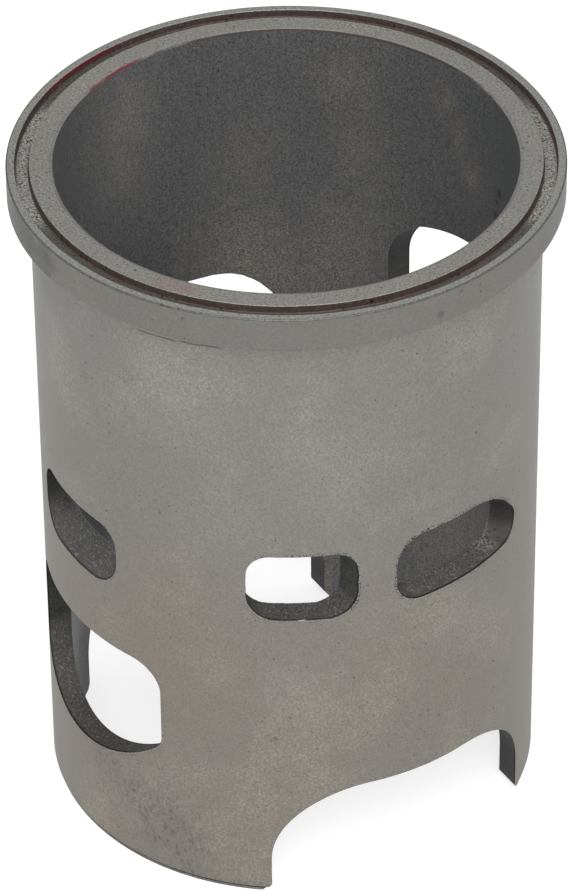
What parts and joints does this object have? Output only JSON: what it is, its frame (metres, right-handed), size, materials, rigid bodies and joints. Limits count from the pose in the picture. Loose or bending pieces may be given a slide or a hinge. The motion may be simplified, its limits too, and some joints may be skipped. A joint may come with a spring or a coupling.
{
  "type": "cylinder liner",
  "caption": "Ported cast iron cylinder liner of a two-stroke engine: a thin flanged sleeve with intake, transfer and exhaust windows and a notched skirt.",
  "frame": {"origin": "on the bore axis, level with the skirt's foot", "axes": "+Z along the bore axis from the skirt's foot up to the deck face; the intake window faces -Y and the exhaust port faces +Y"},
  "size_m": [0.0768, 0.0768, 0.103],
  "materials": {
    "cast_iron": "turned grey iron outside, honed bore, rough cast port walls"
  },
  "bodies": {
    "root": {"cylinder_liner": "cast_iron"}
  },
  "joints": []
}
